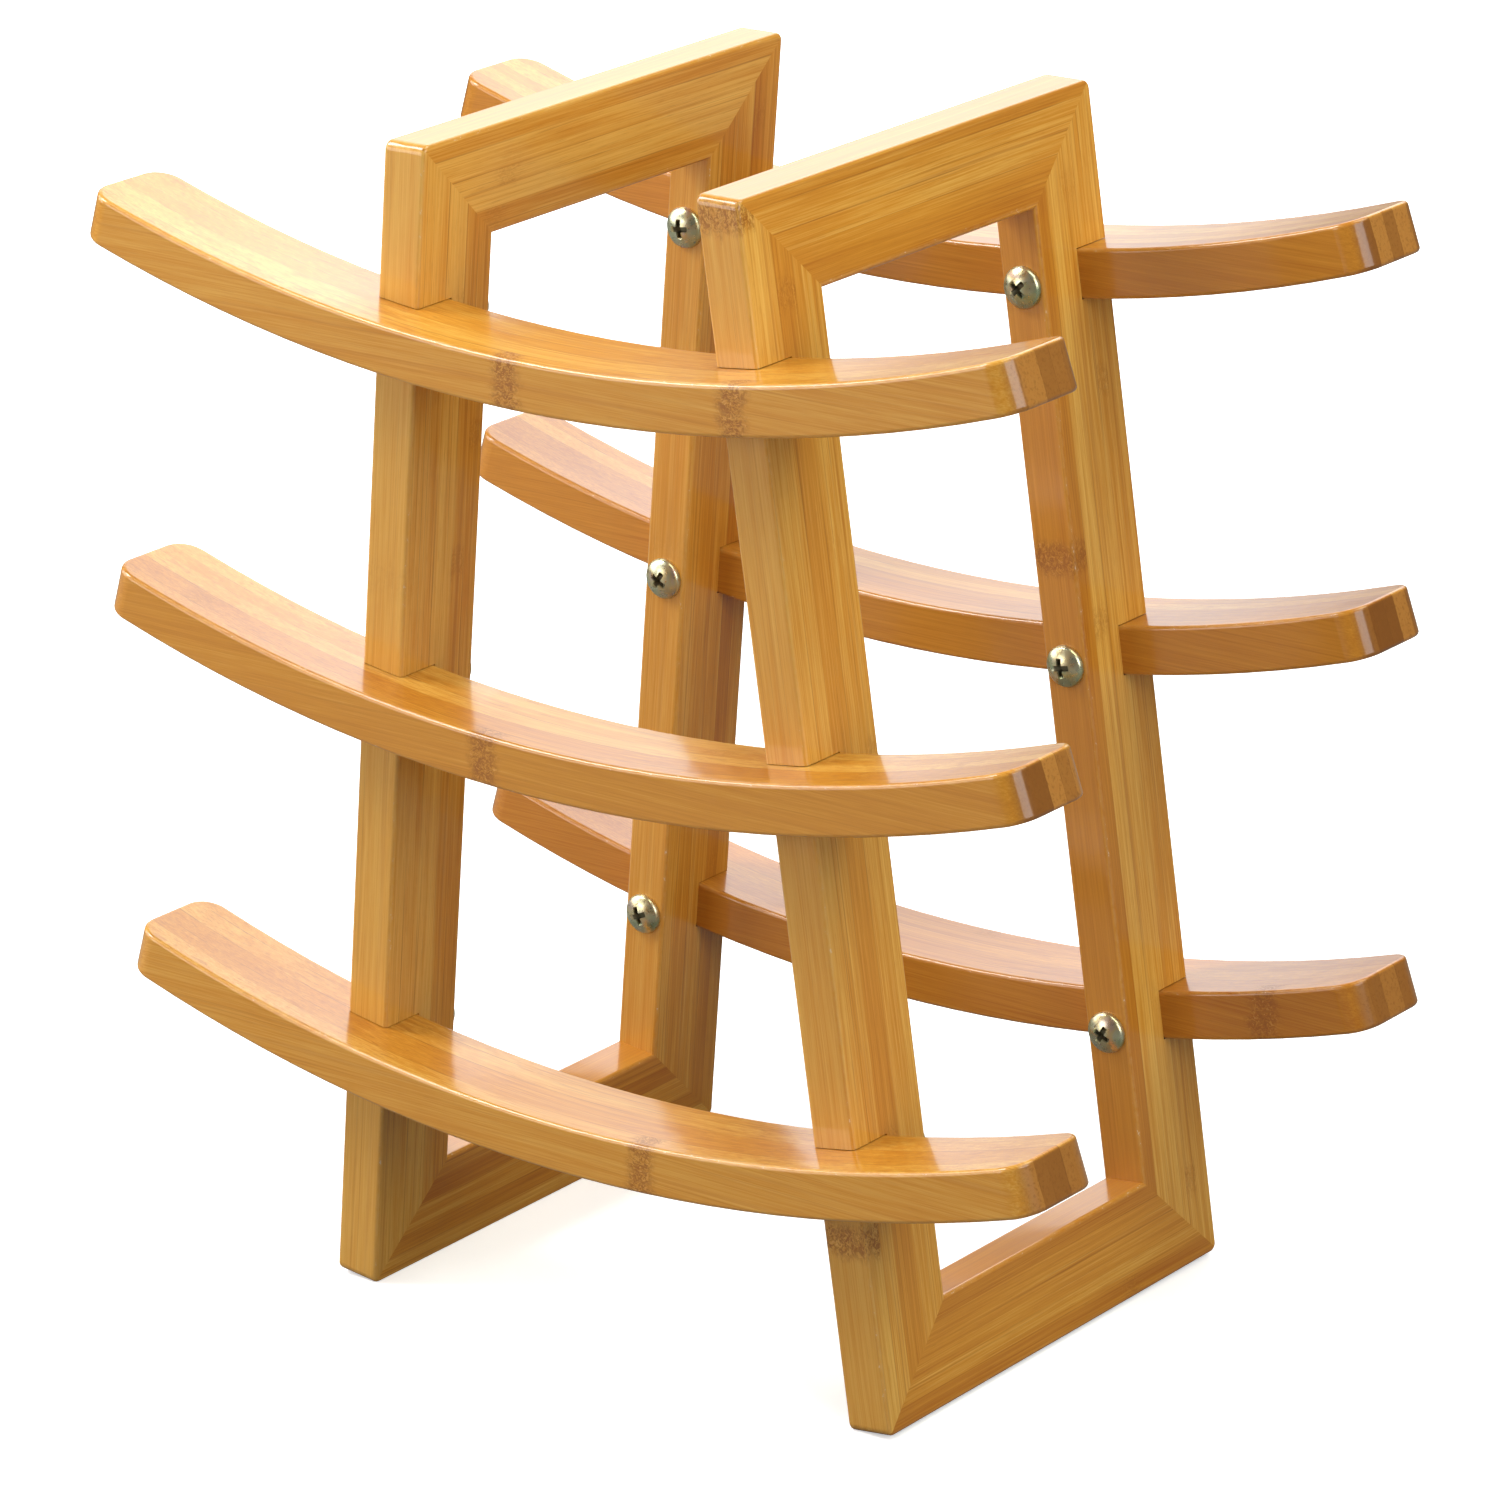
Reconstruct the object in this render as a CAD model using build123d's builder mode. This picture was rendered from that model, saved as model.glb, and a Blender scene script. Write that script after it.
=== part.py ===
"""Flat-pack bamboo wine rack: two leaning mitred frames carry six upward-curved slats.

The rack is the same left to right and front to back.  Bottles lie across a front slat and
the rear slat behind it.  X runs along the slats, -Y is the front, +Z is up, and the origin is
on the floor in the middle of the four feet.
"""

import os
from math import cos, radians, sin, sqrt

from build123d import *

os.makedirs("parts", exist_ok=True)

# ---- boards ----
board_width = 30.0          # width of every frame board, across its face
board_thickness = 14.0      # thickness of every frame board and every slat
edge_round = 1.2            # rounding of the long edges of the frames
corner_round = 2.5          # rounding of the four outer corners of a frame

# ---- frames ----
frame_depth = 152.0         # front to rear, over the posts
frame_length = 336.0        # foot to top, measured along the lean
lean_angle = 6.65           # degrees that each frame leans in toward the other
foot_offset = 91.3          # from the middle of the rack to the middle of a frame's foot
foot_flat_depth = 0.45      # height sanded off the low inner edge, so the rack stands flat

# ---- slats ----
slat_depth = 30.0           # front to rear
slat_radius = 493.0         # radius of a slat's hollow upper face
slat_half_angle = 18.2      # degrees from the middle of a slat to either end
slat_end_round = 7.5        # rounding of the upright corners at the ends
slat_edge_round = 1.2       # rounding of the long edges
lowest_slat_height = 73.5   # height of the upper face of the lowest slats, at the middle
level_pitch = 106.5         # from one level of slats to the next
level_names = ["low", "middle", "high"]

# ---- notches ----
notch_depth = 14.0          # how far a slat is let into a post
notch_slack = 0.2           # gap above a slat in its notch

# ---- screws ----
head_radius = 5.9
head_height = 3.4
head_rim = 1.1              # straight side of the head, below the dome
shoulder_round = 1.4        # rounding between the side and the dome
shank_radius = 2.2
thread_radius = 2.5
core_radius = 1.7
thread_pitch = 2.0
thread_turns = 10
shank_taper = 0.5           # height of the step from the last thread out to the shank
screw_length = 38.0         # below the head
tip_length = 3.0
post_hole_radius = 2.75     # clear of the shank, through the post
recess_depth = 2.3
recess_arm = 6.6            # length of the cross recess from tip to tip
recess_slot = 1.6           # width of one arm of the cross
recess_floor_radius = 1.2
recess_turn = 37.0          # degrees from one screw's cross to the next one's

# ---- dowels ----
dowel_radius = 3.0
dowel_length = 24.0
dowel_glue_gap = 0.5        # left at each end of the dowel's hole
dowel_chamfer = 0.6

# ---- worked out from the above ----
lean = radians(lean_angle)
foot_lift = board_thickness / 2 * sin(lean) - foot_flat_depth
top_height = foot_lift + frame_length * cos(lean)
half_depth = frame_depth / 2
notch_floor = half_depth - notch_depth
post_inner_face = half_depth - board_width
slat_heights = [lowest_slat_height + level * level_pitch for level in range(3)]
saw_margin = 5.0            # cutting shapes run this far past the wood
pick_margin = 1.0           # how near an edge lies to the place or length it is picked by

sides = {"left": -1, "right": 1}
rows = {"front": 1, "rear": -1}


def frame_plane(side):
    """Middle plane of a leaning frame: x along the depth, y up the lean, z outward."""
    return Plane(
        origin=(side * foot_offset, 0, foot_lift),
        x_dir=(0, side, 0),
        z_dir=(side * cos(lean), 0, sin(lean)),
    )


def arc_band(height, upper_radius):
    """The part of a ring that a slat shows from the front, its middle at height."""
    middle = (0, height + slat_radius)
    first_angle = -90 - slat_half_angle
    lower_radius = slat_radius + board_thickness
    with BuildSketch() as band:
        with BuildLine():
            upper = CenterArc(middle, upper_radius, first_angle, 2 * slat_half_angle)
            lower = CenterArc(middle, lower_radius, first_angle, 2 * slat_half_angle)
            Line(upper @ 0, lower @ 0)
            Line(upper @ 1, lower @ 1)
        make_face()
    return band.sketch


def screw_plane(side, row, height):
    """Plane under a screw's head, where a post's middle line crosses a slat's middle line."""
    start_x = foot_offset
    start_z = foot_lift - (height + slat_radius)
    ring_radius = slat_radius + board_thickness / 2
    toward = start_z * cos(lean) - start_x * sin(lean)
    reach = -toward - sqrt(toward**2 - start_x**2 - start_z**2 + ring_radius**2)
    return Plane(
        origin=(
            side * (foot_offset - reach * sin(lean)),
            -row * post_inner_face,
            foot_lift + reach * cos(lean),
        ),
        x_dir=(1, 0, 0),
        z_dir=(0, row, 0),
    )


def dowel_planes(side):
    """Planes across the four corner dowels of a frame, each at the middle of its mitre."""
    plane = frame_plane(side)
    inset = board_width / 2
    planes = {}
    for row_name, row in rows.items():
        for end_name, end_height, rise in (
            ("bottom", inset, 1),
            ("top", frame_length - inset, -1),
        ):
            along = -row * side
            centre = plane.from_local_coords((along * (half_depth - inset), end_height, 0))
            direction = plane.x_dir * along + plane.y_dir * rise
            planes[f"{end_name}_{row_name}"] = Plane(origin=centre, z_dir=direction)
    return planes


# ---- frame boards: each frame is glued up, rounded over, then told apart at its mitres ----
for side_name, side in sides.items():
    plane = frame_plane(side)

    with BuildPart() as frame:
        with BuildSketch(plane):
            with Locations((0, frame_length / 2 + saw_margin / 2)):
                Rectangle(frame_depth, frame_length + saw_margin)
            with Locations((0, frame_length / 2)):
                Rectangle(
                    frame_depth - 2 * board_width,
                    frame_length - 2 * board_width,
                    mode=Mode.SUBTRACT,
                )
        extrude(amount=board_thickness / 2, both=True)
        split(bisect_by=Plane.XY.offset(top_height), keep=Keep.BOTTOM)
        across = frame.edges().filter_by(
            lambda edge: abs(edge.length - board_thickness) < pick_margin
        )
        outer_corners = across.filter_by(
            lambda edge: abs(edge.center().Y) > half_depth - pick_margin
        )
        fillet(outer_corners, corner_round)
        wide_faces = frame.faces().filter_by(Axis(plane.origin, plane.z_dir))
        fillet(wide_faces.edges(), edge_round)
        split(bisect_by=Plane.XY, keep=Keep.TOP)
        for dowel_plane in dowel_planes(side).values():
            with BuildSketch(dowel_plane):
                Circle(dowel_radius)
            extrude(amount=dowel_length / 2 + dowel_glue_gap, both=True, mode=Mode.SUBTRACT)

    mitre_reach = half_depth + saw_margin
    post_outline = [
        (mitre_reach, -saw_margin),
        (mitre_reach, frame_length + saw_margin),
        (0, frame_length - half_depth),
        (0, half_depth),
    ]
    rail_outline = [(-mitre_reach, -saw_margin), (mitre_reach, -saw_margin), (0, half_depth)]

    for row_name, row in rows.items():
        outward = -row * side
        with BuildPart() as post:
            add(frame.part)
            with BuildSketch(plane):
                with BuildLine():
                    Polyline([(outward * x, y) for x, y in post_outline], close=True)
                make_face()
            extrude(amount=board_thickness, both=True, mode=Mode.INTERSECT)
            for height in slat_heights:
                with BuildSketch(Plane.XZ.offset(row * notch_floor)):
                    add(arc_band(height, slat_radius - notch_slack))
                extrude(amount=row * (notch_depth + saw_margin), mode=Mode.SUBTRACT)
                with BuildSketch(screw_plane(side, row, height)):
                    Circle(post_hole_radius)
                extrude(amount=-board_width, mode=Mode.SUBTRACT)
        post.part.label = f"{side_name}_{row_name}_post"
        export_step(post.part, f"parts/{post.part.label}.step")

    for end_name, end_height, rise in (("bottom", 0, 1), ("top", frame_length, -1)):
        with BuildPart() as rail:
            add(frame.part)
            with BuildSketch(plane):
                with BuildLine():
                    Polyline([(x, end_height + rise * y) for x, y in rail_outline], close=True)
                make_face()
            extrude(amount=board_thickness, both=True, mode=Mode.INTERSECT)
        rail.part.label = f"{side_name}_{end_name}_rail"
        export_step(rail.part, f"parts/{rail.part.label}.step")

    # ---- dowels, one across each mitre ----
    for corner_name, dowel_plane in dowel_planes(side).items():
        with BuildPart() as dowel:
            with BuildSketch(dowel_plane):
                Circle(dowel_radius)
            extrude(amount=dowel_length / 2, both=True)
            chamfer(dowel.edges(), dowel_chamfer)
        dowel.part.label = f"{side_name}_{corner_name}_dowel"
        export_step(dowel.part, f"parts/{dowel.part.label}.step")

# ---- slats ----
for level_name, height in zip(level_names, slat_heights):
    for row_name, row in rows.items():
        with BuildPart() as slat:
            with BuildSketch(Plane.XZ.offset(row * notch_floor)):
                add(arc_band(height, slat_radius))
            extrude(amount=row * slat_depth)
            end_corners = slat.edges().filter_by(GeomType.LINE).filter_by(Axis.Y, reverse=True)
            fillet(end_corners, slat_end_round)
            curved_faces = slat.faces().sort_by(SortBy.AREA)[-4:].filter_by(GeomType.CYLINDER)
            fillet(curved_faces.edges(), slat_edge_round)
            for side in sides.values():
                with BuildSketch(screw_plane(side, row, height).offset(-board_width + notch_depth)):
                    Circle(thread_radius)
                extrude(
                    amount=-(screw_length - board_width + notch_depth),
                    mode=Mode.SUBTRACT,
                )
        slat.part.label = f"{level_name}_{row_name}_slat"
        export_step(slat.part, f"parts/{slat.part.label}.step")

# ---- screws: one blank, with its head up and its seat at the origin ----
thread_end = -(screw_length - tip_length)
thread_start = thread_end + thread_turns * thread_pitch

with BuildPart() as screw_blank:
    with BuildSketch(Plane.XZ):
        with BuildLine():
            Line((0, head_height), (0, -screw_length))
            Line((0, -screw_length), (core_radius, thread_end))
            ridge = (core_radius, thread_end)
            for turn in range(thread_turns):
                foot = thread_end + turn * thread_pitch
                crest = (thread_radius, foot + thread_pitch / 2)
                next_foot = (core_radius, foot + thread_pitch)
                Polyline(ridge, crest, next_foot)
                ridge = next_foot
            Polyline(
                ridge,
                (shank_radius, thread_start + shank_taper),
                (shank_radius, 0),
                (head_radius, 0),
                (head_radius, head_rim),
            )
            TangentArc((0, head_height), (head_radius, head_rim), tangent=(1, 0))
        make_face()
    revolve(axis=Axis.Z)
    rim_edges = screw_blank.edges().filter_by(GeomType.CIRCLE).filter_by_position(
        Axis.Z, head_rim / 2, head_height / 2
    )
    fillet(rim_edges, shoulder_round)

with BuildPart() as cross_recess:
    with BuildSketch(Plane.XY.offset(head_height)):
        Rectangle(recess_arm, recess_slot)
        Rectangle(recess_slot, recess_arm)
    extrude(amount=-recess_depth)
    with Locations((0, 0, head_height - recess_depth / 2)):
        Cone(recess_floor_radius, recess_arm / 2, recess_depth, mode=Mode.INTERSECT)

screw_count = 0
for side_name, side in sides.items():
    for row_name, row in rows.items():
        for level_name, height in zip(level_names, slat_heights):
            seat = screw_plane(side, row, height).location
            with BuildPart() as screw:
                with Locations(seat * Rotation(0, 0, screw_count * recess_turn)):
                    add(screw_blank.part)
                    add(cross_recess.part, mode=Mode.SUBTRACT)
            screw.part.label = f"{side_name}_{row_name}_{level_name}_screw"
            export_step(screw.part, f"parts/{screw.part.label}.step")
            screw_count += 1
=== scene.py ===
"""Looks of the bamboo wine rack: lacquered, laminated bamboo boards and yellow zinc screws."""

import math

import bmesh
import bpy
import numpy as np
from mathutils import Matrix, Vector


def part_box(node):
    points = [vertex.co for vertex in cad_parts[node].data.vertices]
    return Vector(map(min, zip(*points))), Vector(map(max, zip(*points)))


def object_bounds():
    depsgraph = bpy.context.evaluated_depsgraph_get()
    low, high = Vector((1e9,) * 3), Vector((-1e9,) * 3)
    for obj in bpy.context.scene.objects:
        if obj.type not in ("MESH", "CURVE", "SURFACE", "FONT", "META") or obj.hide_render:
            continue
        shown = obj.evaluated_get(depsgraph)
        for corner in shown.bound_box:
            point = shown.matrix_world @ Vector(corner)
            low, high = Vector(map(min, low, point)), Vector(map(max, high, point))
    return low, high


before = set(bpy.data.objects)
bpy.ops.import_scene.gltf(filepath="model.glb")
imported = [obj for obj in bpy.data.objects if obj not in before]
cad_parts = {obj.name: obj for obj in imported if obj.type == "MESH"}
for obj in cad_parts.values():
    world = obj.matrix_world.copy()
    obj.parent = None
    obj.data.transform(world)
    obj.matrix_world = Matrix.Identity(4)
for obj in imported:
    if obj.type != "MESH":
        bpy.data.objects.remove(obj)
cad_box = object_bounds()

# ---- sizes in millimetres, as the wood shader counts them ----
MM = 1000.0                 # in a metre
STRIP = 6.0                 # thickness of one bamboo strip in a glued-up board
STRIP_SWAY = 0.9            # most that the line between two strips lies off its even place
STRIP_WAVE = 0.31           # radians of that sway per millimetre across the board
STRIP_MARGIN = 0.1          # of a strip, which keeps a glue line off a board's outer faces
STRIP_SHIFT = 400.0         # most that one strip's pattern is moved along from the next one's
BOARD_WIDTH = 30.0
BOARD_THICKNESS = 14.0
SLAT_RADIUS = 493.0         # of the arc that the top of a slat follows
ARRIS = 1.5                 # how far the rubbed edge of a board reaches in from its corner
NODE_SPACING = 230.0        # from one joint of the cane to the next, along a strip
HEAD_RADIUS = 5.9           # of a screw
HEAD_DROP = 2.1             # from the top of a screw's dome down to its shoulder

# ---- random seeds, which keep one board's pattern apart from the next one's ----
FIRST_SEED = 0.5
SEED_STEP = 1.37
DOWEL_SEED = 90.0

# ---- camera: angles round the rack, distance in metres, lens and sensor in millimetres ----
AZIMUTH = math.radians(39.10)
ELEVATION = math.radians(19.35)
ROLL = math.radians(-1.825)
DISTANCE = 1.8563
LENS = 162.0
SENSOR = 36.0
AIM_OFFSET = Vector((-0.0035, -0.0004, -0.0142))    # from the middle of the rack

# ---- studio: soft boxes by direction, distance and size in metres, power in watts, and tint ----
WHITE = (1.0, 1.0, 1.0)
SUNNY = (0.92, 1.0, 0.86)   # keeps the tops golden, not pink
SOFT_BOXES = (
    ("key", (-0.60, -0.33, 0.73), 1.5, (0.5, 0.5), 12.5, WHITE),
    ("left", (-1.00, -0.35, 0.40), 1.5, (0.9, 0.9), 9.0, WHITE),
    ("front", (-0.55, -1.00, 0.20), 1.6, (0.8, 0.8), 8.0, WHITE),
    ("overhead", (0.35, 0.2, 1.0), 2.2, (1.6, 1.6), 35.0, SUNNY),
    ("rear", (-0.28, 0.73, 0.62), 1.8, (1.2, 0.9), 4.4, WHITE),
    ("side", (1.0, -0.25, 0.45), 1.8, (1.1, 1.1), 15.5, WHITE),
)
FLOOR_REACH = 1.8           # half the side of the paper
FLOOR_GLOW = 0.45           # lifts the paper to white where the camera sees it
FLOOR_FADE = (0.4, 1.4)     # metres from the middle, where it rises to full white
SHADED_PAPER = (0.93, 0.93, 0.93, 1)
WHITE_PAPER = (0.96, 0.96, 0.96, 1)
DULL_PAPER = (0.16, 0.16, 0.16, 1)    # what the rack sees of it
ROOM_GLOW = 0.20            # of the room as it lights the rack
ROOM_MIRRORED = 0.06        # of the room as the lacquer mirrors it
BACKDROP_GLOW = 1.7
BACKDROP_DIRECTION = Vector((-0.57, 0.70, 0.43))
BACKDROP_EDGE = (0.83, 0.99)          # cosines from that direction where it fades in


# ---------------------------------------------------------------- node-tree helpers

class Tree:
    """A few short ways to add nodes and wire them up."""

    def __init__(self, tree):
        self.tree = tree

    def add(self, kind, inputs=None, **settings):
        """A new node with its inputs wired or set, and its settings."""
        node = self.tree.nodes.new(kind)
        for name, value in settings.items():
            setattr(node, name, value)
        for key, value in (inputs or {}).items():
            self.put(node.inputs[key], value)
        return node

    def put(self, socket, value):
        """Wire a socket to another one, or set it to a plain value."""
        if isinstance(value, bpy.types.NodeSocket):
            self.tree.links.new(value, socket)
        else:
            socket.default_value = value

    def math(self, operation, *values):
        node = self.tree.nodes.new("ShaderNodeMath")
        node.operation = operation
        for socket, value in zip(node.inputs, values):
            self.put(socket, value)
        return node.outputs[0]

    def vector(self, operation, *values):
        node = self.tree.nodes.new("ShaderNodeVectorMath")
        node.operation = operation
        for socket, value in zip(node.inputs, values):
            self.put(socket, value)
        return node.outputs["Value" if operation in ("DOT_PRODUCT", "LENGTH") else "Vector"]

    def combine(self, x, y, z):
        return self.add("ShaderNodeCombineXYZ", {0: x, 1: y, 2: z}).outputs[0]

    def swing(self, value, amount):
        """A pattern of 0 to 1 turned into one that swings about 0, over the amount in all."""
        return self.math("MULTIPLY", self.math("SUBTRACT", value, 0.5), amount)

    def ramp(self, value, low, high, to_low=0.0, to_high=1.0):
        """A smooth step from one result to another as the value goes from low to high."""
        node = self.add("ShaderNodeMapRange", {0: value, 1: low, 2: high, 3: to_low, 4: to_high})
        node.interpolation_type = "SMOOTHSTEP"
        return node.outputs[0]

    def noise(self, vector, scale=1.0, detail=2.0, roughness=0.5, distortion=0.0):
        node = self.add("ShaderNodeTexNoise", {
            "Vector": vector, "Scale": scale, "Detail": detail, "Roughness": roughness,
            "Distortion": distortion,
        })
        return node.outputs["Fac"]

    def mix(self, factor, a, b):
        node = self.tree.nodes.new("ShaderNodeMix")
        node.data_type = "RGBA"
        for index, value in ((0, factor), (6, a), (7, b)):
            self.put(node.inputs[index], value)
        return node.outputs[2]


# ---------------------------------------------------------------- laminated bamboo

FAR = 9999.0                # a cane joint this far off never shows
NO_JOINTS = (-1, FAR, FAR)

# colours of the wood and of the marks on it
DARK_WOOD = (0.43, 0.132, 0.010, 1)
MIDDLE_WOOD = (0.63, 0.266, 0.029, 1)
PALE_WOOD = (0.84, 0.50, 0.110, 1)
RED_STREAK = (0.46, 0.150, 0.014, 1)
DARK_HAIR = (0.37, 0.122, 0.014, 1)
DARK_DASH = (0.37, 0.130, 0.016, 1)
JOINT_STAIN = (0.33, 0.110, 0.012, 1)
JOINT_FLECK = (0.80, 0.46, 0.14, 1)
GLUE_LINE = (0.30, 0.092, 0.010, 1)
DARK_END = (0.19, 0.062, 0.011, 1)
PALE_END = (0.46, 0.190, 0.038, 1)
END_DOT = (0.17, 0.058, 0.011, 1)
END_GLUE_LINE = (0.15, 0.050, 0.010, 1)
RUBBED_EDGE = (0.78, 0.50, 0.20, 1)
CHIPPED_EDGE = (0.86, 0.72, 0.48, 1)

# how often each pattern varies in a millimetre: along the grain, then in the two ways across it
CLOUD = (0.012, 0.07, 0.07)
BROAD = (0.006, 0.50, 0.50)
FINE = (0.030, 2.1, 2.1)
DASH = (0.16, 3.2, 3.2)
STREAK = (0.0035, 0.50, 0.50)
HAIR = (0.007, 1.5, 1.5)
MOTTLE = (0.60, 1.00, 1.00)
JOINT_WOBBLE = (0.10, 0.35, 0.35)
GRAIN_DRIFT = (0.011, 0.05, 0.05)
GLUE_PATCH = (0.02, 0.25, 0.25)
END_DOTS = (1.0, 1.1, 1.1)
CHIPS = (0.35, 0.9, 0.9)

# how light each board is against the rest, from 0 to 1; the rear slats, the low one most, and the
# left bottom rail are set darker in part as painted shade, where the rest of the rack shades them
BOARD_TONES_AND_SHADE = {
    "left_front_post": 0.65,
    "left_top_rail": 0.66,
    "right_front_post": 0.56,
    "right_top_rail": 0.53,
    "high_front_slat": 0.52,
    "middle_front_slat": 0.50,
    "low_front_slat": 0.50,
    "right_bottom_rail": 0.46,
    "left_bottom_rail": 0.38,
    "high_rear_slat": 0.42,
    "middle_rear_slat": 0.40,
    "low_rear_slat": 0.22,
}

# cane joints that show on the strip at a board's face, in millimetres along the board from its
# middle: (strip seen from the front, first joint, second joint)
FACE_JOINTS = {
    "high_front_slat": (0, -7.0, 68.0),
    "middle_front_slat": (0, -20.5, FAR),
    "low_front_slat": (0, 28.6, FAR),
    "low_rear_slat": (0, 124.0, FAR),
    "right_front_post": (0, 163.0, -113.0),
    "right_rear_post": (4, 41.0, FAR),
}


def glued_strips(t, place, across, seed):
    """Strips of slightly unequal thickness: where each ends, its number and random numbers."""
    wave = t.math("SINE", t.math("ADD", t.math("MULTIPLY", across, STRIP_WAVE), seed))
    swayed = t.math("ADD", across, t.math("MULTIPLY", wave, STRIP_SWAY))
    crossing = t.math("DIVIDE", swayed, STRIP)
    crossing = t.math("MAXIMUM", crossing, STRIP_MARGIN)
    crossing = t.math("MINIMUM", crossing, BOARD_WIDTH / STRIP - STRIP_MARGIN)
    strip = t.math("FLOOR", crossing)
    random = t.add("ShaderNodeTexWhiteNoise",
                   {"Vector": t.combine(strip, seed, 3.7)}, noise_dimensions="3D")
    chance = t.add("ShaderNodeSeparateColor", {0: random.outputs["Color"]}).outputs
    shift = t.vector("MULTIPLY", random.outputs["Color"], (STRIP_SHIFT, STRIP_SHIFT, STRIP_SHIFT))
    return crossing, strip, chance, t.vector("ADD", place, shift)


def cane_joint(t, along, strip, chance, own_place, given):
    """1 at a joint of the cane, 0 away from it; joints that aren't chosen hardly show."""
    phase = t.math("ADD", t.math("DIVIDE", along, NODE_SPACING), chance[0])
    nearest = t.math("ABSOLUTE", t.math("SUBTRACT", t.math("FRACT", phase), 0.5))
    loose = t.math("MULTIPLY", nearest, NODE_SPACING)
    to_first = t.math("ABSOLUTE", t.math("SUBTRACT", along, given["Joint A"]))
    to_second = t.math("ABSOLUTE", t.math("SUBTRACT", along, given["Joint B"]))
    chosen = t.math("MINIMUM", to_first, to_second)
    is_face = t.math("COMPARE", strip, given["Face strip"], 0.4)
    gap = t.add("ShaderNodeMix", {0: is_face, 2: loose, 3: chosen}).outputs[0]
    faint = t.ramp(chance[2], 0.35, 1.0, 0.06, 0.42)
    strength = t.add("ShaderNodeMix", {0: is_face, 2: faint, 3: 1.0}).outputs[0]
    wobble = t.noise(t.vector("MULTIPLY", own_place, JOINT_WOBBLE), detail=3.0)
    gap = t.math("ADD", gap, t.swing(wobble, 7.0))
    return t.math("MULTIPLY", t.ramp(gap, 1.6, 6.6, 1.0, 0.0), strength)


def grain_place(t, own_place, joint):
    """Place that the fibres follow: they wander a little, and part round a joint."""
    push = t.add("ShaderNodeTexNoise", {"Vector": own_place, "Scale": 0.35, "Detail": 2.0})
    push = t.vector("SUBTRACT", push.outputs["Color"], (0.5, 0.5, 0.5))
    aside = t.math("MULTIPLY", joint, 3.0)
    push = t.vector("MULTIPLY", push, t.combine(0.0, aside, aside))
    drift = t.swing(t.noise(t.vector("MULTIPLY", own_place, GRAIN_DRIFT), detail=1.0), 1.2)
    return t.vector("ADD", t.vector("ADD", own_place, push), t.combine(0.0, drift, drift))


def ground_colour(t, place, grain, tone_and_shade, chance, fine, plain):
    """Colour of the wood between its marks, from the board's tone, which on some boards holds
    painted shade.
    """
    cloud = t.noise(t.vector("MULTIPLY", place, CLOUD), detail=2.0)
    broad = t.noise(t.vector("MULTIPLY", grain, BROAD), detail=3.0, roughness=0.6)
    for pattern, amount in ((chance[1], 0.44), (cloud, 0.36), (broad, 0.66)):
        tone_and_shade = t.math("ADD", tone_and_shade, t.math("MULTIPLY", t.swing(pattern, amount), plain))
    tone_and_shade = t.math("ADD", tone_and_shade, t.math("MULTIPLY", t.swing(fine, 0.95), t.math("SQRT", plain)))
    colours = t.add("ShaderNodeValToRGB", {0: tone_and_shade})
    ramp = colours.color_ramp
    ramp.elements[0].position, ramp.elements[0].color = 0.0, DARK_WOOD
    ramp.elements[1].position, ramp.elements[1].color = 1.0, PALE_WOOD
    ramp.elements.new(0.5).color = MIDDLE_WOOD
    return colours.outputs[0]


def marked(t, colour, grain, plain):
    """Long reddish streaks, thin dark hairlines and short dashes of the fibre bundles."""
    streak = t.noise(t.vector("MULTIPLY", grain, STREAK), detail=2.0)
    hair = t.noise(t.vector("MULTIPLY", grain, HAIR), detail=2.0)
    dash = t.noise(t.vector("MULTIPLY", grain, DASH), detail=2.0, roughness=0.6)
    for amount, tint in ((t.ramp(streak, 0.56, 0.72, 0.0, 0.55), RED_STREAK),
                         (t.ramp(hair, 0.62, 0.70, 0.0, 0.40), DARK_HAIR),
                         (t.ramp(dash, 0.58, 0.74, 0.0, 0.30), DARK_DASH)):
        colour = t.mix(t.math("MULTIPLY", amount, plain), colour, tint)
    return colour


def stained_joint(t, colour, grain, joint):
    """Brown mottling with pale flecks at a joint, and how strong the brown is."""
    mottle = t.noise(t.vector("MULTIPLY", grain, MOTTLE), detail=4.0, roughness=0.65,
                     distortion=1.3)
    stain = t.math("MULTIPLY", joint, t.ramp(mottle, 0.42, 0.58, 0.20, 0.90))
    fleck = t.math("MULTIPLY", joint, t.ramp(mottle, 0.30, 0.42, 0.45, 0.0))
    colour = t.mix(stain, colour, JOINT_STAIN)
    return t.mix(fleck, colour, JOINT_FLECK), stain


def glue_line(t, place, crossing):
    """Strength of the line between two strips, which is stronger here and there."""
    edge = t.math("ABSOLUTE", t.math("SUBTRACT", t.math("FRACT", crossing), 0.5))
    patchy = t.noise(t.vector("MULTIPLY", place, GLUE_PATCH), detail=2.0)
    return t.math("MULTIPLY", t.ramp(edge, 0.455, 0.492), t.ramp(patchy, 0.42, 0.66, 0.08, 0.60))


def end_grain(t, own_place, chance, line):
    """Colour of the ends of the fibres: each strip its own brown, with small dark dots."""
    dots = t.noise(t.vector("MULTIPLY", own_place, END_DOTS), detail=3.0, roughness=0.6)
    colour = t.mix(chance[1], DARK_END, PALE_END)
    colour = t.mix(t.math("MULTIPLY", t.ramp(dots, 0.48, 0.70), 0.45), colour, END_DOT)
    return t.mix(t.math("MULTIPLY", line, 0.8), colour, END_GLUE_LINE)


def worn_arrises(t, colour, place, edge):
    """Arrises rubbed a little paler, and how much of the lacquer is chipped off there."""
    chips = t.noise(t.vector("MULTIPLY", place, CHIPS), detail=3.0, roughness=0.7)
    rubbed = t.math("MULTIPLY", edge, t.ramp(chips, 0.35, 0.60, 0.04, 0.18))
    chipped = t.math("MULTIPLY", edge, t.ramp(chips, 0.66, 0.70))
    colour = t.mix(rubbed, colour, RUBBED_EDGE)
    return t.mix(t.math("MULTIPLY", chipped, 0.6), colour, CHIPPED_EDGE), chipped


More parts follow.
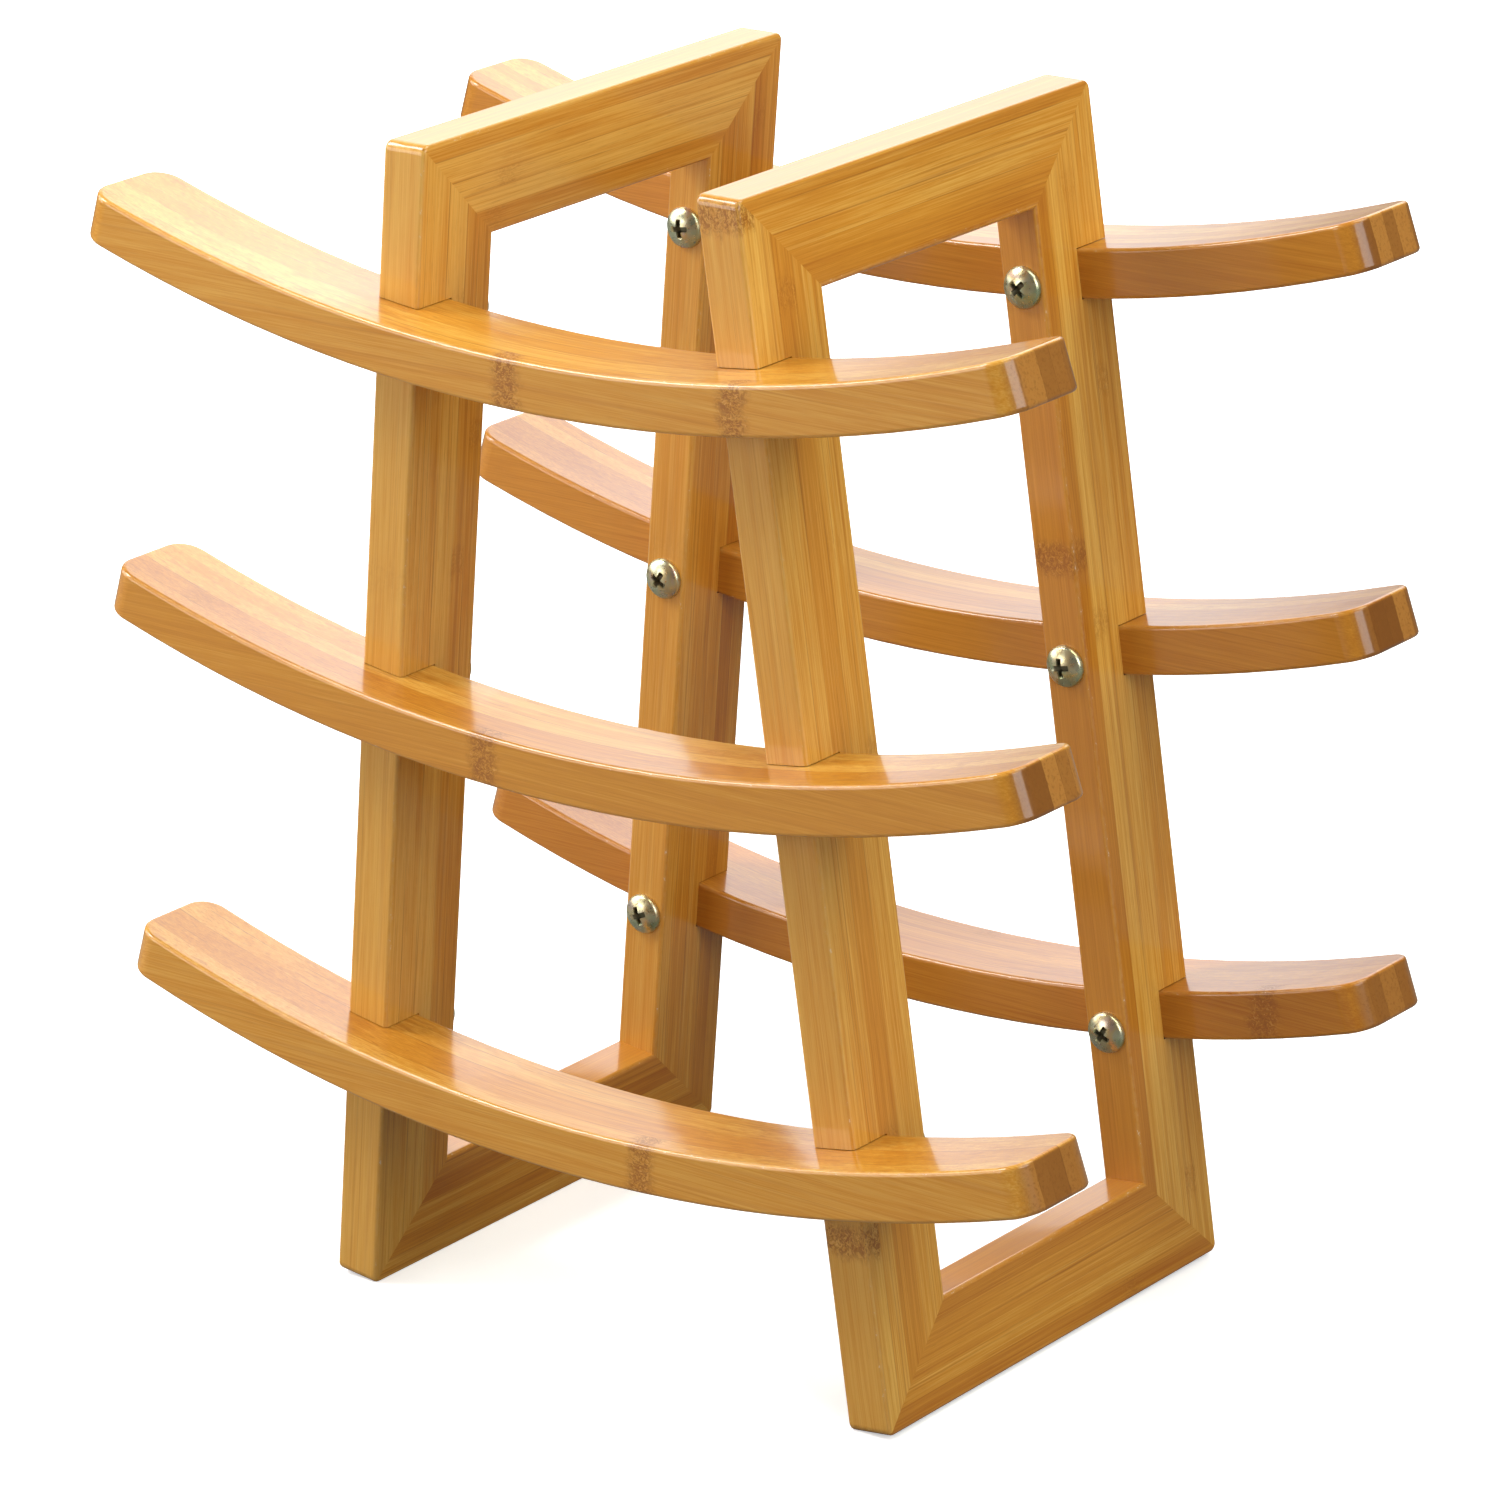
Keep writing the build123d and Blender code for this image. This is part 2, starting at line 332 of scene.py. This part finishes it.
def surface(t, fine, line, stain, chipped):
    """Roughness and height, from the fibres, the glue lines, the joints and the chips."""
    rough = t.math("ADD", 0.36, t.swing(fine, 0.22))
    height = t.math("MULTIPLY", fine, 0.25)
    height = t.math("ADD", height, t.math("MULTIPLY", t.math("SUBTRACT", 1.0, line), 0.25))
    for mark, roughened, raised in ((stain, 0.10, -0.25), (chipped, 0.25, -0.5)):
        rough = t.math("ADD", rough, t.math("MULTIPLY", mark, roughened))
        height = t.math("ADD", height, t.math("MULTIPLY", mark, raised))
    return rough, height


def bamboo_group():
    """Colour, roughness and height of laminated bamboo.

    Place is in millimetres: x along the grain, y across the glued strips, z along their width.
    """
    group = bpy.data.node_groups.new("laminated_bamboo", "ShaderNodeTree")
    sockets = group.interface
    sockets.new_socket("Place", in_out="INPUT", socket_type="NodeSocketVector")
    for name in ("Seed", "Tone and shade", "End", "Edge", "Flat", "Face strip", "Joint A", "Joint B"):
        sockets.new_socket(name, in_out="INPUT", socket_type="NodeSocketFloat")
    for name, kind in (("Colour", "Color"), ("Roughness", "Float"), ("Height", "Float")):
        sockets.new_socket(name, in_out="OUTPUT", socket_type="NodeSocket" + kind)
    t = Tree(group)
    given = t.add("NodeGroupInput").outputs
    place = given["Place"]
    axes = t.add("ShaderNodeSeparateXYZ", {0: place}).outputs
    along, across = axes[0], axes[1]

    crossing, strip, chance, own_place = glued_strips(t, place, across, given["Seed"])
    joint = cane_joint(t, along, strip, chance, own_place, given)
    grain = grain_place(t, own_place, joint)
    fine = t.noise(t.vector("MULTIPLY", grain, FINE), detail=3.0, roughness=0.66)

    # the flat side of a strip is plainer than its edge
    plain = t.math("SUBTRACT", 1.0, t.math("MULTIPLY", given["Flat"], 0.48))
    colour = ground_colour(t, place, grain, given["Tone and shade"], chance, fine, plain)
    colour = marked(t, colour, grain, plain)
    colour, stain = stained_joint(t, colour, grain, joint)
    line = glue_line(t, place, crossing)
    colour = t.mix(line, colour, GLUE_LINE)
    is_end = t.math("MULTIPLY", given["End"], 0.92)
    colour = t.mix(is_end, colour, end_grain(t, own_place, chance, line))
    colour, chipped = worn_arrises(t, colour, place, given["Edge"])
    rough, height = surface(t, fine, line, stain, chipped)
    t.add("NodeGroupOutput", {"Colour": colour, "Roughness": rough, "Height": height})
    return group


BAMBOO = bamboo_group()


def near_faces(t, depth, full):
    """1 within a millimetre or so of either face of a board that is full deep, else 0."""
    inside = t.math("MINIMUM", depth, t.math("SUBTRACT", full, depth))
    return t.ramp(inside, 0.3, ARRIS, 1.0, 0.0)


def bamboo_material(name, origin, axes, seed, arc_centre=None, joints=NO_JOINTS):
    """Lacquered bamboo for one board: axes are its grain, strip and width directions.

    A slat's arc_centre is the centre of the circle that its top follows. Joints are the strip
    at the board's face and the places of two cane joints on it.
    """
    material = bpy.data.materials.new(name)
    material.use_nodes = True
    t = Tree(material.node_tree)
    shader = material.node_tree.nodes["Principled BSDF"]
    coordinates = t.add("ShaderNodeTexCoord").outputs
    from_origin = t.vector("SUBTRACT", coordinates["Object"], tuple(origin))
    parts = [
        t.math("MULTIPLY", t.vector("DOT_PRODUCT", from_origin, tuple(axis)), MM) for axis in axes
    ]
    place = t.combine(*parts)
    facing = t.vector("DOT_PRODUCT", coordinates["Normal"], tuple(axes[0]))
    end = t.ramp(t.math("ABSOLUTE", facing), 0.45, 0.88)
    flat = t.vector("DOT_PRODUCT", coordinates["Normal"], tuple(axes[1]))
    flat = t.ramp(t.math("ABSOLUTE", flat), 0.5, 0.9)
    if arc_centre:
        spoke = t.vector("SUBTRACT", coordinates["Object"], tuple(arc_centre))
        radius = t.math("MULTIPLY", t.vector("LENGTH", t.vector("MULTIPLY", spoke, (1, 0, 1))), MM)
        thickness = t.math("SUBTRACT", radius, SLAT_RADIUS)
    else:
        thickness = t.math("ADD", parts[2], BOARD_THICKNESS / 2)
    edge = t.math("MULTIPLY", near_faces(t, parts[1], BOARD_WIDTH),
                  near_faces(t, thickness, BOARD_THICKNESS))
    wood = t.add("ShaderNodeGroup", node_tree=BAMBOO)
    # the board's tone, which on the rear slats and the left bottom rail holds painted shade
    tone_and_shade = BOARD_TONES_AND_SHADE.get(name.removesuffix("_bamboo"), 0.5)
    for key, value in (("Place", place), ("Seed", seed), ("Tone and shade", tone_and_shade),
                       ("End", end), ("Edge", edge), ("Flat", flat),
                       ("Face strip", joints[0]), ("Joint A", joints[1]), ("Joint B", joints[2])):
        t.put(wood.inputs[key], value)
    ripple = t.noise(coordinates["Object"], scale=110.0, detail=1.0)
    fibre_bump = t.add("ShaderNodeBump", {
        "Strength": 0.25, "Distance": 0.00012, "Height": wood.outputs["Height"],
    })
    lacquer_bump = t.add("ShaderNodeBump", {
        "Strength": 0.30, "Distance": 0.00025, "Height": ripple,
        "Normal": fibre_bump.outputs[0],
    })
    t.put(shader.inputs["Base Color"], wood.outputs["Colour"])
    t.put(shader.inputs["Roughness"], wood.outputs["Roughness"])
    t.put(shader.inputs["Normal"], fibre_bump.outputs[0])
    t.put(shader.inputs["Coat Normal"], lacquer_bump.outputs[0])
    shader.inputs["Specular IOR Level"].default_value = 0.2
    shader.inputs["Coat Weight"].default_value = 0.85
    shader.inputs["Coat Roughness"].default_value = 0.12
    shader.inputs["Coat IOR"].default_value = 1.5
    return material


def measure(node, axis):
    """Lowest and highest reach of a CAD node along an axis, in metres."""
    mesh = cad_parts[node].data
    points = np.empty(len(mesh.vertices) * 3, np.float32)
    mesh.vertices.foreach_get("co", points)
    reach = points.reshape(-1, 3) @ np.array(axis, np.float32)
    return float(reach.min()), float(reach.max())


def wide_face_normal(node):
    """Outward normal of the broad outer face of a frame board."""
    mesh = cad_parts[node].data
    side = 1.0 if node.startswith("right") else -1.0
    best = max(
        (face for face in mesh.polygons if face.normal.x * side > 0.9), key=lambda face: face.area
    )
    return best.normal.copy()


def set_material(node, material):
    """Give a CAD node one material in place of its own."""
    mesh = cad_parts[node].data
    mesh.materials.clear()
    mesh.materials.append(material)


Y_AXIS = Vector((0, 1, 0))

for index, node in enumerate(sorted(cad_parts)):
    seed = SEED_STEP * index + FIRST_SEED
    joints = FACE_JOINTS.get(node, NO_JOINTS)
    if node.endswith(("post", "rail")):
        normal = wide_face_normal(node)
        up = normal.cross(Y_AXIS)
        up = up if up.z > 0 else -up
        if node.endswith("post"):
            grain = up
            inward = Y_AXIS if "front" in node else -Y_AXIS
        else:
            grain = Y_AXIS
            inward = up if "bottom" in node else -up
        axes = (grain, inward, normal)
        low, high = measure(node, grain)
        edge = measure(node, inward)[0]
        thick = measure(node, normal)
        origin = grain * (low + high) / 2 + inward * edge + normal * sum(thick) / 2
        set_material(node, bamboo_material(
            node + "_bamboo", origin, axes, seed, joints=joints))
    elif node.endswith("slat"):
        low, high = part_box(node)
        axes = (Vector((1, 0, 0)), Y_AXIS, Vector((0, 0, 1)))
        origin = Vector(((low.x + high.x) / 2, low.y, low.z))
        arc_centre = origin + Vector((0, 0, (SLAT_RADIUS + BOARD_THICKNESS) / MM))
        set_material(node, bamboo_material(
            node + "_bamboo", origin, axes, seed, arc_centre, joints))


# ---------------------------------------------------------------- screws and dowels

# tints of passivated zinc, by where they come in the drifting pattern
ZINC_TINTS = (
    (0.30, (0.46, 0.53, 0.31, 1)),
    (0.44, (0.58, 0.60, 0.38, 1)),
    (0.54, (0.64, 0.62, 0.43, 1)),
    (0.64, (0.70, 0.60, 0.32, 1)),
    (0.72, (0.68, 0.55, 0.43, 1)),
)
# painted shade: colour of a screw's cross recess, darkened where shade falls in it
RECESS_SHADE = (0.09, 0.075, 0.045, 1)
RECESS_REACH = (3.4, 3.9)   # from the middle of a head, where the cross recess ends


def zinc_material(name, low, high):
    """Yellow-passivated zinc: a bright metal with drifting green, gold and pink tints.

    The cross recess, found as what lies under the dome of the head, is dull, and painted dark as
    shade.
    """
    material = bpy.data.materials.new(name)
    material.use_nodes = True
    t = Tree(material.node_tree)
    shader = material.node_tree.nodes["Principled BSDF"]
    place = t.add("ShaderNodeTexCoord").outputs["Object"]
    is_rear = low.y > 0
    top = low.y if is_rear else high.y
    into_head = (0, 1, 0) if is_rear else (0, -1, 0)
    from_top = t.vector("SUBTRACT", place, ((low.x + high.x) / 2, top, (low.z + high.z) / 2))
    radius = t.math("MULTIPLY", t.vector("LENGTH", t.vector("MULTIPLY", from_top, (1, 0, 1))), MM)
    depth = t.math("MULTIPLY", t.vector("DOT_PRODUCT", from_top, into_head), MM)
    dome = t.math("MULTIPLY", t.math("POWER", radius, 2.0), HEAD_DROP / HEAD_RADIUS**2)
    recess = t.ramp(t.math("SUBTRACT", depth, dome), 0.20, 0.70)
    recess = t.math("MULTIPLY", recess, t.ramp(radius, *RECESS_REACH, 1.0, 0.0))
    drift = t.noise(place, scale=150.0, detail=1.0, distortion=0.8)
    colours = t.add("ShaderNodeValToRGB", {0: drift})
    ramp = colours.color_ramp
    ramp.elements[0].position, ramp.elements[0].color = ZINC_TINTS[0]
    ramp.elements[1].position, ramp.elements[1].color = ZINC_TINTS[-1]
    for position, tint in ZINC_TINTS[1:-1]:
        ramp.elements.new(position).color = tint
    # painted shade: the cross recess darkened in the colour
    colour = t.mix(t.math("MULTIPLY", recess, 0.86), colours.outputs[0], RECESS_SHADE)
    grime = t.noise(place, scale=900.0, detail=3.0)
    rough = t.ramp(grime, 0.3, 0.7, 0.26, 0.34)
    t.put(shader.inputs["Base Color"], colour)
    t.put(shader.inputs["Roughness"], t.math("ADD", rough, t.math("MULTIPLY", recess, 0.3)))
    bump = t.add("ShaderNodeBump", {"Strength": 0.03, "Distance": 0.00003, "Height": grime})
    t.put(shader.inputs["Normal"], bump.outputs[0])
    shader.inputs["Metallic"].default_value = 0.9
    return material


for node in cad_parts:
    low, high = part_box(node)
    if node.endswith("screw"):
        set_material(node, zinc_material(node + "_zinc", low, high))
    elif node.endswith("dowel"):
        axes = (Vector((0, 1, 0)), Vector((0, 0, 1)), Vector((1, 0, 0)))
        set_material(node, bamboo_material(node + "_wood", low, axes, DOWEL_SEED))


# ---------------------------------------------------------------- floor, light and camera

low, high = cad_box
centre = (low + high) / 2


def make_floor():
    """White paper floor, dull enough to the object that it throws little light back up."""
    mesh = bpy.data.meshes.new("floor")
    shape = bmesh.new()
    bmesh.ops.create_grid(shape, x_segments=1, y_segments=1, size=FLOOR_REACH)
    shape.to_mesh(mesh)
    shape.free()
    floor = bpy.data.objects.new("floor", mesh)
    bpy.context.scene.collection.objects.link(floor)
    material = bpy.data.materials.new("white_paper")
    material.use_nodes = True
    t = Tree(material.node_tree)
    shader = material.node_tree.nodes["Principled BSDF"]
    place = t.add("ShaderNodeTexCoord").outputs["Object"]
    fibres = t.noise(place, scale=40.0, detail=3.0)
    paper = t.mix(fibres, SHADED_PAPER, WHITE_PAPER)
    seen = t.add("ShaderNodeLightPath").outputs["Is Camera Ray"]
    t.put(shader.inputs["Base Color"], t.mix(seen, DULL_PAPER, paper))
    glow = t.ramp(t.vector("LENGTH", place), *FLOOR_FADE, FLOOR_GLOW, 1.0)
    t.put(shader.inputs["Emission Strength"], t.math("MULTIPLY", seen, glow))
    shader.inputs["Emission Color"].default_value = (1, 1, 1, 1)
    shader.inputs["Roughness"].default_value = 0.6
    shader.inputs["Specular IOR Level"].default_value = 0.2
    mesh.materials.append(material)


def area_light(name, direction, distance, size, power, tint):
    """A soft box that looks at the middle of the rack from a direction."""
    data = bpy.data.lights.new(name, "AREA")
    data.shape = "RECTANGLE"
    data.size, data.size_y = size
    data.energy = power
    data.color = tint
    light = bpy.data.objects.new(name, data)
    towards = Vector(direction).normalized()
    light.location = centre + towards * distance
    light.rotation_euler = (-towards).to_track_quat("-Z", "Y").to_euler()
    bpy.context.scene.collection.objects.link(light)


def make_world():
    """White to the camera; to the object, a dim room with a bright backdrop behind it."""
    world = bpy.data.worlds.new("studio")
    world.use_nodes = True
    t = Tree(world.node_tree)
    background = world.node_tree.nodes["Background"]
    direction = t.add("ShaderNodeTexCoord").outputs["Generated"]
    towards = t.vector("DOT_PRODUCT", direction, tuple(BACKDROP_DIRECTION.normalized()))
    path = t.add("ShaderNodeLightPath").outputs
    room = t.add("ShaderNodeMix", {0: path["Is Diffuse Ray"], 2: ROOM_MIRRORED, 3: ROOM_GLOW})
    around = t.ramp(towards, *BACKDROP_EDGE, room.outputs[0], BACKDROP_GLOW)
    strength = t.add("ShaderNodeMix", {0: path["Is Camera Ray"], 2: around, 3: 1.0}).outputs[0]
    t.put(background.inputs["Strength"], strength)
    background.inputs["Color"].default_value = (1.0, 1.0, 1.0, 1)
    bpy.context.scene.world = world


def make_camera():
    """Camera that looks down at the rack from its front right corner, rolled a little."""
    aim = centre + AIM_OFFSET
    back = Vector((math.sin(AZIMUTH) * math.cos(ELEVATION),
                   -math.cos(AZIMUTH) * math.cos(ELEVATION), math.sin(ELEVATION)))
    right = Vector((math.cos(AZIMUTH), math.sin(AZIMUTH), 0))
    up = back.cross(right)
    turned_right = right * math.cos(ROLL) + up * math.sin(ROLL)
    turned_up = up * math.cos(ROLL) - right * math.sin(ROLL)
    data = bpy.data.cameras.new("camera")
    data.lens = LENS
    data.sensor_width = SENSOR
    data.sensor_fit = "HORIZONTAL"
    data.clip_start, data.clip_end = 0.05, 50.0
    camera = bpy.data.objects.new("camera", data)
    camera.matrix_world = Matrix.Translation(aim + back * DISTANCE) @ Matrix(
        (turned_right, turned_up, back)).transposed().to_4x4()
    bpy.context.scene.collection.objects.link(camera)
    bpy.context.scene.camera = camera


make_floor()
make_world()
for name, direction, distance, size, power, tint in SOFT_BOXES:
    area_light(name, direction, distance, size, power, tint)
make_camera()
bpy.context.scene.view_settings.view_transform = "Standard"
